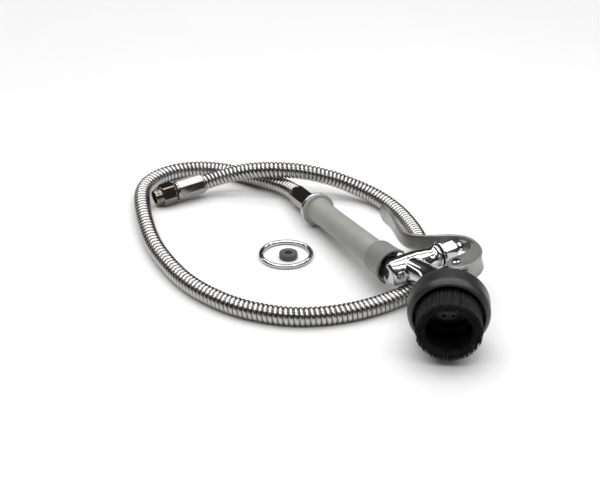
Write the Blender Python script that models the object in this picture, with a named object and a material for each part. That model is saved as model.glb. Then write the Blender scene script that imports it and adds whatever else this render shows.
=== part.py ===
"""Pre-rinse hose assembly: a squeeze spray valve with a scrubbing brush, its
insulated handle, a flexible metal hose with a threaded supply connector, and
the two loose pieces that come with it, a hold-down ring and a hose washer.

Lengths in this file are millimetres and angles are degrees; MM turns them
into Blender's metres when a mesh is made.

Frame: +Z up from the table top, +X along the handle towards the spray head,
+Y towards the lever.  The spray valve rests on its rubber bumper and on the
grip's flange, so it is modelled in a tool frame of its own (X along the grip,
Y towards the lever, origin at the bell's mouth) that is pitched and rolled.
"""
import math

import bmesh
import bpy
from mathutils import Matrix, Vector

MM = 0.001
GAP = 0.3                      # clearance between neighbouring pieces

# ---- where the pieces lie -------------------------------------------------
MOUTH = Vector((34.2, 4.2, 30.0))     # bell mouth, origin of the tool frame
TOOL_PITCH = 4.2               # grip rises towards the spray head
TOOL_ROLL = 8.0                # lever side is the higher one
SUPPLY_MOUTH = Vector((-244.3, -80.2, 16.6))
SUPPLY_HEADING = -87.2         # direction of the supply connector's thread end
SUPPLY_PITCH = -5.0
RING_CENTRE = (-78.5, -55.6)
WASHER_CENTRE = (-75.1, -54.6)

# ---- hose -------------------------------------------------------------------
HOSE_RADIUS = 9.0
HOSE_IN_FERRULE = 20.0         # length of hose that each ferrule hides
HOSE_POINTS = 44               # points of the tube's centre line
FERRULE_BORE = 9.5
FERRULE_LENGTH = 40.0
HANDLE_FERRULE_FLATS = 21.0
SUPPLY_FERRULE_FLATS = 22.0
SUPPLY_FERRULE_LENGTH = 34.0
SPIGOT_RADIUS = 6.0
ADAPTER_BORE = 4.2
ADAPTER_FLATS = 22.4
THREAD_RADIUS = 9.4

# ---- handle, as stations along the grip's axis ------------------------------
FERRULE_BACK = -211.0
CAP_BACK = -168.6
CAP_FRONT = -163.8
CAP_RADIUS = 16.8
GRIP_BACK = -161.0
GRIP_FRONT = -25.0
GRIP_RADIUS = 13.0
GRIP_BORE = 9.6
FLANGE_RADIUS = 18.0
FLANGE_THICKNESS = 4.5
BELL_BACK = -31.0
BELL_RADIUS = 16.4
BELL_MOUTH_RADIUS = 18.4
BELL_WALL = 2.6
TUBE_RADIUS = 8.0
TUBE_BORE = 5.5
TUBE_BACK = -189.0
TUBE_FRONT = -17.2
NECK_BACK = -15.6
NUT_FLATS = 20.0
NUT_BACK = -23.6
NUT_FRONT = -8.6

# ---- valve body and what is in its barrel, as stations along the lever side -
BARREL_X = 8.0                 # barrel's axis crosses the grip's axis here
BARREL_END = 44.0
BARREL_RADIUS = 13.4
CHAMBER_BORE = 8.4
INLET_BORE = 7.2
SEAT_FACE = 9.0
BONNET_BORE = 2.6
BONNET_FLATS = 17.0
BONNET_HEX = (48.4, 62.5)
BONNET_FLANGE_RADIUS = 11.3
STEM_BACK = -1.5
STEM_FRONT = 66.0
STEM_RADIUS = 2.25
HOLDER = (1.2, 3.2)            # disc on the stem that carries the seat washer
HOLDER_RADIUS = 6.2
WASHER_SEAT_RADIUS = 6.4
SPRING_BACK = -7.6
SPRING_CLEARANCE = 1.0         # between the spring's front and the holder
SPRING_RADIUS = 4.6
SPRING_WIRE = 0.55
SPRING_TURNS = 3.5
GLAND = (54.0, 58.0)           # groove in the bonnet for the stem's o-ring
GLAND_RADIUS = 4.4
BUTTON_RADIUS = 4.6
BUTTON_TOP = 71.0
BUTTON_WELL = (60.2, 64.2)     # recess in the bonnet that takes the pressed button
BUTTON_WELL_RADIUS = 5.1
PUSH_PAD = (3.6, 12.4)         # stretch of the lever's inside that meets the button

# ---- spray head, as stations along its own axis -----------------------------
HEAD_CENTRE = (84.8, 7.1)      # centre of the bumper's back face, tool frame
HEAD_ANGLE = -33.0             # spray axis, turned away from the lever
RIM_RADIUS = 29.5
RIM_FRONT = 9.0
DISH_RADIUS = 25.5
BUMPER_RADIUS = 36.5
BUMPER_DEPTH = 25.5
BRISTLE_RADIUS = 29.0
BRISTLE_BORE = 21.0
BRISTLE_TIPS = 51.5
FACE_BACK = 2.2
CARRIER_FRONT = 15.0
JETS = 8
JET_CIRCLE = 11.0
JET_RADIUS = 1.5
JET_TURN = 0.37                # part of a step by which the jets are turned

# ---- lever --------------------------------------------------------------------
PIN = (43.5, 43.0)             # lever's pivot, tool frame
PIN_RADIUS = 3.0
LEVER_HALF_HEIGHT = 8.5
LEVER_WALL = 3.6
CHEEK_INNER = 5.3
LUG_HALF_HEIGHT = 5.0
LUG_RADIUS = 7.0
LUG_ROOT = 18.0                # where the lug starts, inside the horn
TIP_EXTRA_HEIGHT = 0.28        # the arm grows this much taller at its tip
LEVER_OUTLINE = (              # outer side of the strap, from tip to pivot
    (-107.0, 50.0), (-100.0, 50.2), (-88.0, 49.2), (-70.0, 44.6), (-54.0, 40.2),
    (-42.0, 38.8), (-33.0, 40.6), (-25.0, 46.2), (-16.0, 55.4), (-7.0, 66.6),
    (3.0, 75.2), (14.0, 79.2), (27.0, 78.6), (40.0, 74.6), (50.0, 66.4),
    (55.6, 56.0), (56.2, 47.0))
CHEEK_EDGE = (                 # free edge of the two cheeks, pivot to window
    (54.6, 40.4), (50.6, 36.2), (45.0, 34.4), (37.6, 36.2), (33.8, 42.0),
    (33.6, 52.0), (33.0, 60.0), (29.6, 67.0), (22.0, 72.6))

# ---- loose pieces -------------------------------------------------------------
RING_RADIUS = 25.65
RING_WIRE = 2.5
WASHER_RADIUS = 9.4
WASHER_HOLE = 3.6
WASHER_THICKNESS = 6.0

# Points that the hose follows over the table, measured from the bell's mouth
# in plan and from the table top in height, handle end first.
HOSE_ROUTE = (
    (-239.0, -2.0, 12.3), (-259.0, -10.5, 10.8), (-279.0, -21.0, 9.4),
    (-297.0, -32.5, 9.0), (-313.0, -45.5, 9.0), (-327.5, -62.0, 9.0),
    (-335.5, -83.0, 9.0), (-335.5, -105.0, 9.0), (-327.5, -125.5, 9.0),
    (-312.5, -142.0, 9.0), (-291.5, -153.5, 9.0), (-257.5, -163.5, 9.0),
    (-214.5, -173.0, 9.0), (-176.0, -179.0, 9.0), (-139.0, -179.0, 9.0),
    (-107.0, -177.0, 9.0), (-79.0, -171.0, 9.0), (-54.0, -161.0, 9.0),
    (-33.0, -150.0, 9.0), (-13.0, -133.0, 9.0), (6.0, -111.0, 9.0),
    (18.0, -82.0, 9.0), (23.0, -55.0, 9.0), (23.0, -26.0, 9.0),
    (19.0, 0.0, 9.0), (9.0, 23.0, 9.0), (-8.0, 41.0, 9.0),
    (-29.0, 56.0, 9.0), (-55.0, 67.0, 9.0), (-83.0, 76.0, 9.0),
    (-109.0, 81.0, 9.0), (-135.0, 84.0, 9.0), (-159.0, 82.0, 9.8),
    (-180.0, 76.0, 12.0), (-197.0, 65.0, 15.5), (-211.0, 53.0, 19.7),
    (-221.0, 38.0, 24.0), (-230.0, 22.0, 28.0), (-237.0, 7.0, 30.3),
    (-245.5, -8.0, 31.0), (-256.5, -23.0, 29.5), (-267.5, -38.0, 25.8),
    (-275.5, -53.8, 21.6))

ROUND = 32                     # segments of a large turned piece
SMALL = 20                     # segments of a small one

CHROME = ((0.78, 0.79, 0.80), 0.08, 1.0)
SATIN = ((0.55, 0.55, 0.55), 0.32, 1.0)
STEEL = ((0.62, 0.61, 0.60), 0.25, 1.0)
BRASS = ((0.72, 0.55, 0.28), 0.3, 1.0)
GREY_PLASTIC = ((0.36, 0.36, 0.33), 0.45, 0.0)
BLACK_RUBBER = ((0.015, 0.015, 0.016), 0.55, 0.0)
BRISTLE = ((0.01, 0.01, 0.01), 0.6, 0.0)
GREY_RUBBER = ((0.07, 0.07, 0.07), 0.6, 0.0)
NYLON = ((0.6, 0.6, 0.55), 0.5, 0.0)


# ---- making meshes ------------------------------------------------------------
def clear_scene():
    for obj in list(bpy.data.objects):
        bpy.data.objects.remove(obj, do_unlink=True)


def material(name, look):
    colour, roughness, metallic = look
    made = bpy.data.materials.new(name)
    made.use_nodes = True
    shader = made.node_tree.nodes["Principled BSDF"]
    shader.inputs["Base Color"].default_value = (*colour, 1.0)
    shader.inputs["Roughness"].default_value = roughness
    shader.inputs["Metallic"].default_value = metallic
    return made


def frame(name, matrix, parent=None):
    """An empty that other pieces are placed by."""
    empty = bpy.data.objects.new(name, None)
    bpy.context.scene.collection.objects.link(empty)
    empty.parent = parent
    empty.matrix_local = matrix
    return empty


def mesh_object(name, mesh, parent, look=None):
    obj = bpy.data.objects.new(name, mesh)
    bpy.context.scene.collection.objects.link(obj)
    obj.parent = parent
    mesh.shade_smooth()
    mesh.set_sharp_from_angle(angle=math.radians(32.0))
    if look:
        mesh.materials.append(material(name, look))
    else:
        obj.hide_render = True
        obj.display_type = "WIRE"
    return obj


def finish_mesh(name, bm):
    bmesh.ops.recalc_face_normals(bm, faces=bm.faces)
    mesh = bpy.data.meshes.new(name)
    bm.to_mesh(mesh)
    bm.free()
    return mesh


def ring_points(radius, segments, flats=None, phase=0.0):
    """Unit outline of a turned section: round, or a polygon across flats."""
    for index in range(segments):
        angle = 2.0 * math.pi * (index + phase) / segments
        reach = radius
        if flats:
            step = 2.0 * math.pi / flats
            reach = radius / math.cos((angle + step / 2.0) % step - step / 2.0)
        yield reach * math.cos(angle), reach * math.sin(angle)


def turned(name, profile, parent, look=None, segments=ROUND, flats=None, loop=False):
    """A piece turned about its frame's local Z.

    profile lists (station, radius), or (station, radius, True) where that
    section is a polygon with the given number of flats.  loop joins the last
    section to the first, for a piece with a bore; otherwise a radius of 0
    closes an end.
    """
    bm = bmesh.new()
    rings = []
    for station, radius, *polygon in profile:
        if radius == 0.0:
            rings.append([bm.verts.new((0.0, 0.0, station * MM))])
            continue
        sides = flats if polygon else None
        rings.append([bm.verts.new((x * MM, y * MM, station * MM))
                      for x, y in ring_points(radius, segments, sides)])
    pairs = list(zip(rings, rings[1:]))
    if loop:
        pairs.append((rings[-1], rings[0]))
    for first, second in pairs:
        for index in range(segments):
            after = (index + 1) % segments
            if len(first) == 1:
                bm.faces.new((first[0], second[index], second[after]))
            elif len(second) == 1:
                bm.faces.new((first[after], first[index], second[0]))
            else:
                bm.faces.new((first[index], first[after], second[after], second[index]))
    return mesh_object(name, finish_mesh(name, bm), parent, look)


def prism(name, outline, low, high, parent, look=None, grow=None):
    """An outline in the frame's XY plane, extruded from low to high.

    grow, if given, scales the height at each outline point.
    """
    bm = bmesh.new()
    layers = []
    for height in (low, high):
        layers.append([bm.verts.new((x * MM, y * MM, height * MM * (grow(x) if grow else 1.0)))
                       for x, y in outline])
    bm.faces.new(layers[0])
    bm.faces.new(layers[1])
    count = len(outline)
    for index in range(count):
        after = (index + 1) % count
        bm.faces.new((layers[0][index], layers[0][after], layers[1][after], layers[1][index]))
    return mesh_object(name, finish_mesh(name, bm), parent, look)


def lofted(name, sections, parent, look=None, segments=ROUND):
    """A horn through round sections of (x, y, heading, radius) in the XY plane."""
    bm = bmesh.new()
    rings = []
    for x, y, heading, radius in sections:
        side = Vector((-math.sin(math.radians(heading)), math.cos(math.radians(heading)), 0.0))
        ring = []
        for across, up in ring_points(radius, segments):
            point = Vector((x, y, 0.0)) + side * across + Vector((0.0, 0.0, up))
            ring.append(bm.verts.new(point * MM))
        rings.append(ring)
    for first, second in zip(rings, rings[1:]):
        for index in range(segments):
            after = (index + 1) % segments
            bm.faces.new((first[index], first[after], second[after], second[index]))
    bm.faces.new(rings[0])
    bm.faces.new(rings[-1])
    return mesh_object(name, finish_mesh(name, bm), parent, look)


def torus(name, radius, wire, station, parent, look, segments=ROUND, sides=8):
    profile = []
    for index in range(sides):
        angle = 2.0 * math.pi * index / sides
        profile.append((station + wire * math.sin(angle), radius + wire * math.cos(angle)))
    return turned(name, profile, parent, look, segments, loop=True)


def boolean(target, cutter, operation="DIFFERENCE"):
    step = target.modifiers.new(operation.lower() + "_" + cutter.name, "BOOLEAN")
    step.operation = operation
    step.solver = "EXACT"
    step.object = cutter


def smooth_curve(points, per_span=8):
    """Points along a uniform cubic B-spline that starts and ends on the list's ends."""
    points = [Vector(point) for point in points]
    padded = [2 * points[0] - points[1]] + points + [2 * points[-1] - points[-2]]
    curve = []
    for p0, p1, p2, p3 in zip(padded, padded[1:], padded[2:], padded[3:]):
        for step in range(per_span):
            t = step / per_span
            curve.append(((1 - t) ** 3 * p0 + (3 * t ** 3 - 6 * t ** 2 + 4) * p1
                          + (-3 * t ** 3 + 3 * t ** 2 + 3 * t + 1) * p2 + t ** 3 * p3) / 6.0)
    curve.append(points[-1])
    return curve


def evenly_spaced(curve, count):
    """The same curve as count points at equal distances along it."""
    reach = [0.0]
    for first, second in zip(curve, curve[1:]):
        reach.append(reach[-1] + (second - first).length)
    spaced = []
    span = 0
    for index in range(count):
        target = reach[-1] * index / (count - 1)
        while span < len(curve) - 2 and reach[span + 1] < target:
            span += 1
        part = (target - reach[span]) / (reach[span + 1] - reach[span])
        spaced.append(curve[span].lerp(curve[span + 1], part))
    return spaced


# ---- frames -------------------------------------------------------------------
def make_frames():
    pitch = Matrix.Rotation(math.radians(-TOOL_PITCH), 4, "Y")
    roll = Matrix.Rotation(math.radians(TOOL_ROLL), 4, "X")
    tool = frame("tool_frame", Matrix.Translation(MOUTH * MM) @ pitch @ roll)
    along_x = Matrix.Rotation(math.radians(90.0), 4, "Y")
    along_y = Matrix.Rotation(math.radians(-90.0), 4, "X")
    grip = frame("grip_axis", along_x, tool)
    barrel = frame("barrel_axis", Matrix.Translation(Vector((BARREL_X, 0, 0)) * MM) @ along_y, tool)
    centre = Matrix.Translation(Vector((*HEAD_CENTRE, 0.0)) * MM)
    turn = Matrix.Rotation(math.radians(HEAD_ANGLE), 4, "Z")
    head = frame("head_axis", centre @ turn @ along_x, tool)
    pivot = frame("lever_pivot", Matrix.Translation(Vector((*PIN, 0.0)) * MM), tool)
    heading = Matrix.Rotation(math.radians(SUPPLY_HEADING), 4, "Z")
    tilt = Matrix.Rotation(math.radians(-SUPPLY_PITCH), 4, "Y")
    supply = frame("supply_axis", Matrix.Translation(SUPPLY_MOUTH * MM) @ heading @ tilt @ along_x)
    return tool, grip, barrel, head, pivot, supply


# ---- spray valve ----------------------------------------------------------------
def make_valve_body(tool, grip, barrel, head):
    body = turned("valve_body", (
        (-11.2, 0.0), (-11.2, 8.6), (-9.6, 11.4), (-6.2, 13.0), (0.0, BARREL_RADIUS),
        (22.0, 13.0), (36.0, 11.0), (BARREL_END, 11.0), (BARREL_END, 0.0)), barrel, CHROME)
    neck = turned("neck_form", ((NECK_BACK, 0.0), (NECK_BACK, TUBE_RADIUS),
                                (BARREL_X, TUBE_RADIUS), (BARREL_X, 0.0)), grip)
    horn = lofted("horn_form", (
        (9.0, 10.0, 8.0, 11.8), (27.0, 13.5, 8.0, 12.2), (44.0, 15.5, 2.0, 13.0),
        (58.0, 15.7, -10.0, 15.6), (69.0, 13.8, -22.0, 20.4),
        (77.0, 11.2, -30.0, 26.4), (81.5, 9.2, -33.0, RIM_RADIUS),
        (HEAD_CENTRE[0] + RIM_FRONT * math.cos(math.radians(HEAD_ANGLE)),
         HEAD_CENTRE[1] + RIM_FRONT * math.sin(math.radians(HEAD_ANGLE)),
         HEAD_ANGLE, RIM_RADIUS)), tool)
    lug_outline = [(PIN[0] - LUG_RADIUS, LUG_ROOT), (PIN[0] + LUG_RADIUS + 0.5, LUG_ROOT)]
    for step in range(9):
        angle = math.radians(180.0 * step / 8)
        lug_outline.append((PIN[0] + LUG_RADIUS * math.cos(angle),
                            PIN[1] + LUG_RADIUS * math.sin(angle)))
    lug = prism("lug_form", lug_outline, -LUG_HALF_HEIGHT, LUG_HALF_HEIGHT, tool)
    for form in (neck, horn, lug):
        boolean(body, form, "UNION")

    chamber = turned("chamber_form", (
        (-8.6, 0.0), (-8.6, INLET_BORE), (SEAT_FACE - GAP, INLET_BORE),
        (SEAT_FACE - GAP, CHAMBER_BORE), (BARREL_END + 2.0, CHAMBER_BORE),
        (BARREL_END + 2.0, 0.0)), barrel, segments=24)
    inlet = turned("inlet_form", ((NECK_BACK - 2.0, 0.0), (NECK_BACK - 2.0, 4.8),
                                  (BARREL_X - 4.0, 4.8), (BARREL_X - 4.0, 0.0)), grip, segments=16)
    dish_back = 1.0
    outlet = lofted("outlet_form", (
        (12.0, 18.0, 2.0, 6.0), (30.0, 15.5, -3.0, 6.5), (50.0, 15.0, -10.0, 8.0),
        (66.0, 13.6, -22.0, 12.0),
        (HEAD_CENTRE[0] + dish_back * math.cos(math.radians(HEAD_ANGLE)),
         HEAD_CENTRE[1] + dish_back * math.sin(math.radians(HEAD_ANGLE)), HEAD_ANGLE, 22.0)),
        tool, segments=24)
    dish = turned("dish_form", ((dish_back - 0.4, 0.0), (dish_back - 0.4, DISH_RADIUS),
                                (RIM_FRONT + 2.0, DISH_RADIUS), (RIM_FRONT + 2.0, 0.0)), head)
    pin_hole = turned("pin_hole_form", (
        (-9.0, 0.0), (-9.0, PIN_RADIUS + GAP), (9.0, PIN_RADIUS + GAP), (9.0, 0.0)),
        frame("pin_axis_in_lug", Matrix.Translation(Vector((*PIN, 0.0)) * MM), tool), segments=16)
    for cutter in (chamber, inlet, outlet, dish, pin_hole):
        boolean(body, cutter)


def make_barrel_pieces(barrel):
    turned("valve_seat", ((SEAT_FACE, 4.9), (SEAT_FACE, CHAMBER_BORE - GAP),
                          (SEAT_FACE + 4.0, CHAMBER_BORE - GAP), (SEAT_FACE + 4.0, 4.9)),
           barrel, BRASS, SMALL, loop=True)
    holder_back, holder_front = HOLDER
    turned("stem", ((STEM_BACK, 0.0), (STEM_BACK, STEM_RADIUS), (holder_back, STEM_RADIUS),
                    (holder_back, HOLDER_RADIUS), (holder_front, HOLDER_RADIUS),
                    (holder_front, STEM_RADIUS), (STEM_FRONT, STEM_RADIUS),
                    (STEM_FRONT, 0.0)), barrel, BRASS, SMALL)
    washer_back, washer_front = holder_front + GAP, SEAT_FACE - GAP
    turned("seat_washer", ((washer_back, STEM_RADIUS + GAP), (washer_back, WASHER_SEAT_RADIUS),
                           (washer_front, WASHER_SEAT_RADIUS), (washer_front, STEM_RADIUS + GAP)),
           barrel, BLACK_RUBBER, SMALL, loop=True)
    turned("stem_button", ((STEM_FRONT + GAP, 0.0), (STEM_FRONT + GAP, BUTTON_RADIUS - 0.6),
                           (STEM_FRONT + 1.0, BUTTON_RADIUS), (BUTTON_TOP - 1.4, BUTTON_RADIUS),
                           (BUTTON_TOP - 0.5, 3.9), (BUTTON_TOP, 1.8), (BUTTON_TOP, 0.0)),
           barrel, CHROME, SMALL)
    coil(barrel, SPRING_BACK, holder_back - SPRING_CLEARANCE)

    hex_back, hex_front = BONNET_HEX
    hex_radius = BONNET_FLATS / 2.0
    turned("bonnet", (
        (34.0, BONNET_BORE), (34.0, 7.6), (35.0, CHAMBER_BORE - GAP),
        (BARREL_END + 1.2 + GAP, CHAMBER_BORE - GAP),
        (BARREL_END + 1.2 + GAP, BONNET_FLANGE_RADIUS - 0.5), (46.4, BONNET_FLANGE_RADIUS),
        (47.6, BONNET_FLANGE_RADIUS), (hex_back - 0.2, BONNET_FLANGE_RADIUS - 0.8),
        (hex_back, hex_radius, True), (hex_front - 1.0, hex_radius, True),
        (hex_front, hex_radius * 0.9), (hex_front, 6.6), (BUTTON_WELL[1] - 0.4, 6.6),
        (BUTTON_WELL[1], 6.2), (BUTTON_WELL[1], BUTTON_WELL_RADIUS),
        (BUTTON_WELL[0], BUTTON_WELL_RADIUS), (BUTTON_WELL[0], BONNET_BORE),
        (GLAND[1], BONNET_BORE), (GLAND[1], GLAND_RADIUS), (GLAND[0], GLAND_RADIUS),
        (GLAND[0], BONNET_BORE)),
        barrel, CHROME, 24, flats=6, loop=True)
    turned("bonnet_gasket", ((BARREL_END + GAP, CHAMBER_BORE + GAP), (BARREL_END + GAP, 10.8),
                             (BARREL_END + 1.2, 10.8), (BARREL_END + 1.2, CHAMBER_BORE + GAP)),
           barrel, BLACK_RUBBER, SMALL, loop=True)
    o_ring_radius, o_ring_wire = 3.36, 0.75
    torus("stem_o_ring", o_ring_radius, o_ring_wire, sum(GLAND) / 2.0, barrel, BLACK_RUBBER,
          SMALL, 6)


def coil(barrel, back, front):
    """Closing spring round the stem's tail, as one swept wire with closed ends."""
    steps, sides = 12, 6
    bm = bmesh.new()
    rings = []
    count = int(SPRING_TURNS * steps)
    for index in range(count + 1):
        angle = 2.0 * math.pi * index / steps
        centre = back + SPRING_WIRE + (front - back - 2 * SPRING_WIRE) * index / count
        ring = []
        for side in range(sides):
            turn = 2.0 * math.pi * side / sides
            reach = SPRING_RADIUS + SPRING_WIRE * math.cos(turn)
            ring.append(bm.verts.new(Vector((reach * math.cos(angle), reach * math.sin(angle),
                                             centre + SPRING_WIRE * math.sin(turn))) * MM))
        rings.append(ring)
    for first, second in zip(rings, rings[1:]):
        for side in range(sides):
            after = (side + 1) % sides
            bm.faces.new((first[side], first[after], second[after], second[side]))
    bm.faces.new(rings[0])
    bm.faces.new(rings[-1])
    mesh_object("closing_spring", finish_mesh("closing_spring", bm), barrel, STEEL)


def make_head(head):
    face_radius = DISH_RADIUS - GAP
    face = turned("spray_face", (
        (FACE_BACK, 2.4), (FACE_BACK, face_radius), (FACE_BACK + 3.0, face_radius),
        (FACE_BACK + 3.0, 18.0), (FACE_BACK + 5.0, 15.0), (FACE_BACK + 5.0, 6.4),
        (FACE_BACK + 3.4, 5.2), (FACE_BACK + 3.4, 2.4)), head, SATIN, loop=True)
    for index in range(JETS):
        angle = math.radians(360.0 * (index + JET_TURN) / JETS)
        at = Vector((math.cos(angle), math.sin(angle), 0.0)) * JET_CIRCLE * MM
        number = "_%d" % (index + 1)
        hole = turned("jet_form" + number, ((0.0, 0.0), (0.0, JET_RADIUS), (9.0, JET_RADIUS), (9.0, 0.0)),
                      frame("jet_frame" + number, Matrix.Translation(at), head), segments=8)
        boolean(face, hole)
    turned("face_screw", ((FACE_BACK - 0.8, 0.0), (FACE_BACK - 0.8, 2.1), (FACE_BACK + 3.7, 2.1),
                          (FACE_BACK + 3.7, 4.4), (FACE_BACK + 5.4, 4.0), (FACE_BACK + 6.0, 2.6),
                          (FACE_BACK + 6.0, 0.0)), head, CHROME, SMALL)
    gasket_back, gasket_front = 0.9, FACE_BACK - GAP
    turned("face_gasket", ((gasket_back, 22.4), (gasket_back, face_radius),
                           (gasket_front, face_radius), (gasket_front, 22.4)),
           head, BLACK_RUBBER, loop=True)
    seat = RIM_FRONT + GAP
    turned("brush_carrier", ((seat, 22.0), (seat, RIM_RADIUS), (CARRIER_FRONT, RIM_RADIUS),
                             (CARRIER_FRONT, 20.6), (10.6, 20.6)), head, BLACK_RUBBER, loop=True)
    base = CARRIER_FRONT + GAP
    turned("bristle_ring", ((base, BRISTLE_BORE), (base, 28.0), (30.0, BRISTLE_RADIUS),
                            (BRISTLE_TIPS - 1.5, BRISTLE_RADIUS), (BRISTLE_TIPS, 27.6),
                            (BRISTLE_TIPS, 22.6), (BRISTLE_TIPS - 2.0, BRISTLE_BORE)),
           head, BRISTLE, loop=True)
    inner = RIM_RADIUS + GAP
    turned("bumper", ((0.0, inner), (0.0, 33.4), (1.2, 35.4), (3.6, BUMPER_RADIUS),
                      (19.4, BUMPER_RADIUS), (22.8, 35.6), (24.8, 33.8), (BUMPER_DEPTH, 32.2),
                      (BUMPER_DEPTH, 31.2), (18.0, inner)), head, BLACK_RUBBER, 36, loop=True)


# ---- lever --------------------------------------------------------------------
def offset_path(path, distance):
    """The path moved sideways, to the right of its direction."""
    moved = []
    for index, point in enumerate(path):
        before = Vector(path[max(index - 1, 0)])
        after = Vector(path[min(index + 1, len(path) - 1)])
        along = (after - before).normalized()
        moved.append((point[0] + along.y * distance, point[1] - along.x * distance))
    return moved


def make_lever(tool, lever):
    relative = [(x - PIN[0], y - PIN[1]) for x, y in LEVER_OUTLINE]
    inner = offset_path(relative, LEVER_WALL)
    reach = -relative[0][0]

    def taller(x):
        part = min(max((-x - 60.0) / (reach - 60.0), 0.0), 1.0)
        return 1.0 + TIP_EXTRA_HEIGHT * part * part * (3.0 - 2.0 * part)

    strap = prism("lever", relative + inner[::-1], -LEVER_HALF_HEIGHT, LEVER_HALF_HEIGHT,
                  lever, SATIN, taller)
    edge = [(x - PIN[0], y - PIN[1]) for x, y in CHEEK_EDGE]
    start = next(i for i, point in enumerate(LEVER_OUTLINE) if point[0] > 20.0)
    cheek_outline = relative[start:] + edge
    for low, high, side in ((CHEEK_INNER, LEVER_HALF_HEIGHT, "top"),
                            (-LEVER_HALF_HEIGHT, -CHEEK_INNER, "bottom")):
        boolean(strap, prism("cheek_form_" + side, cheek_outline, low, high, lever), "UNION")
    pad_face = BUTTON_TOP + GAP
    pad_outline = [(x - PIN[0], y - PIN[1]) for x, y in (
        (PUSH_PAD[0], pad_face), (PUSH_PAD[1], pad_face),
        (PUSH_PAD[1], pad_face + 4.4), (PUSH_PAD[0] + 3.0, pad_face + 3.0))]
    boolean(strap, prism("pad_form", pad_outline, -BUTTON_RADIUS, BUTTON_RADIUS, lever), "UNION")
    hole = turned("lever_hole_form", ((-12.0, 0.0), (-12.0, PIN_RADIUS + GAP),
                                      (12.0, PIN_RADIUS + GAP), (12.0, 0.0)), lever, segments=16)
    boolean(strap, hole)
    bevel = strap.modifiers.new("edges", "BEVEL")
    bevel.width = 1.0 * MM
    bevel.segments = 1
    bevel.limit_method = "ANGLE"
    bevel.angle_limit = math.radians(50.0)

    pin_frame = frame("pin_axis", Matrix.Translation(Vector((*PIN, 0.0)) * MM), tool)
    top = LEVER_HALF_HEIGHT + GAP
    clip_low, clip_high = -top - 0.9, -top
    turned("lever_pin", ((clip_low - 1.4, 0.0), (clip_low - 1.4, 2.4), (clip_low - 0.9, PIN_RADIUS),
                         (clip_low - GAP, PIN_RADIUS), (clip_low - GAP, 2.2),
                         (clip_high + GAP, 2.2), (clip_high + GAP, PIN_RADIUS),
                         (top, PIN_RADIUS), (top, 4.4), (top + 1.6, 4.2), (top + 2.2, 3.2),
                         (top + 2.2, 0.0)), pin_frame, CHROME, SMALL)
    turned("lever_pin_clip", ((clip_low, 2.5), (clip_low, 5.2), (clip_high, 5.2),
                              (clip_high, 2.5)), pin_frame, STEEL, SMALL, loop=True)


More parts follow.
